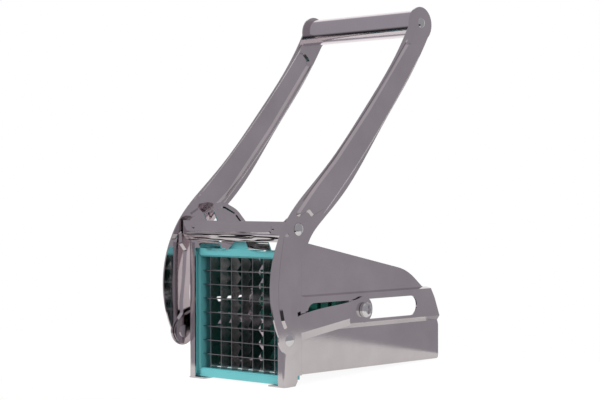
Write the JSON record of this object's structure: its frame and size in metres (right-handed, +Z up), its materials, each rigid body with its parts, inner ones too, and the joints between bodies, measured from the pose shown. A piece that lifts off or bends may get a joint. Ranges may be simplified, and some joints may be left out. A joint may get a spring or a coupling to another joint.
{
  "type": "french fry cutter",
  "caption": "Lever-operated potato cutter: a folded steel trough with a slotted side band, a two-armed lever, links to a sliding fingered pusher, and a lift-out blade cassette.",
  "frame": {"origin": "on the table, under the middle of the outline", "axes": "+Z up, -Y towards the blade cassette at the front, +X to the right of someone who faces the blades"},
  "size_m": [0.1112, 0.1824, 0.2632],
  "materials": {
    "body_steel": "polished",
    "bridge_steel": "polished",
    "arm_steel": "polished",
    "link_steel": "polished",
    "tube_chrome": "polished",
    "frame_plastic": "satin",
    "pusher_plastic": "satin",
    "blade_steel": "ground",
    "bush_plastic": "matt",
    "plug_plastic": "matt",
    "fastener_chrome": "polished"
  },
  "bodies": {
    "body": {"body_shell": "body_steel", "front_bridge": "bridge_steel", "left_guard_fin": "bridge_steel", "left_pivot_rivet": "fastener_chrome", "left_pivot_spacer": "fastener_chrome", "left_pivot_washer": "fastener_chrome", "right_pivot_rivet": "fastener_chrome", "right_pivot_spacer": "fastener_chrome", "right_pivot_washer": "fastener_chrome"},
    "lever": {"hand_tube": "tube_chrome", "left_arm": "arm_steel", "left_handle_rivet": "fastener_chrome", "left_lower_rivet": "fastener_chrome", "left_tube_plug": "plug_plastic", "right_arm": "arm_steel", "right_handle_rivet": "fastener_chrome", "right_lower_rivet": "fastener_chrome", "right_tube_plug": "plug_plastic"},
    "pusher": {"axle_rod": "fastener_chrome", "left_axle_screw": "fastener_chrome", "left_axle_washer": "fastener_chrome", "left_slot_bush": "bush_plastic", "pusher_block": "pusher_plastic", "pusher_saddle": "link_steel", "right_axle_screw": "fastener_chrome", "right_axle_washer": "fastener_chrome", "right_slot_bush": "bush_plastic", "saddle_screw_1": "fastener_chrome", "saddle_screw_2": "fastener_chrome"},
    "links": {"left_link": "link_steel", "left_link_stud": "fastener_chrome", "right_link": "link_steel", "right_link_stud": "fastener_chrome"},
    "blade_cassette": {"blade_frame": "frame_plastic", "level_blade_1": "blade_steel", "level_blade_2": "blade_steel", "level_blade_3": "blade_steel", "level_blade_4": "blade_steel", "level_blade_5": "blade_steel", "level_blade_6": "blade_steel", "level_blade_7": "blade_steel", "vertical_blade_1": "blade_steel", "vertical_blade_2": "blade_steel", "vertical_blade_3": "blade_steel", "vertical_blade_4": "blade_steel", "vertical_blade_5": "blade_steel", "vertical_blade_6": "blade_steel", "vertical_blade_7": "blade_steel"}
  },
  "joints": [
    {"name": "lever_turn", "type": "hinge", "parent": "body", "child": "lever", "pos_m": [0, -0.06486, 0.1055], "axis": [1, 0, 0], "range_deg": [-43, 41.5]},
    {"name": "pusher_slide", "type": "slide", "parent": "body", "child": "pusher", "axis": [0, 1, 0], "range_m": [-0.0477, 0.0462]},
    {"name": "link_turn", "type": "hinge", "parent": "pusher", "child": "links", "pos_m": [0, 0.00264, 0.0483], "axis": [1, 0, 0], "range_deg": [-5.6, 5.4]},
    {"name": "blade_cassette_lift", "type": "slide", "parent": "body", "child": "blade_cassette", "axis": [0, 0, 1], "range_m": [0, 0.095]}
  ],
  "couplings": [
    {"joint": "pusher_slide", "follows": "lever_turn", "m_per_rad": 0.0633},
    {"joint": "link_turn", "follows": "lever_turn", "ratio": 0.127}
  ]
}
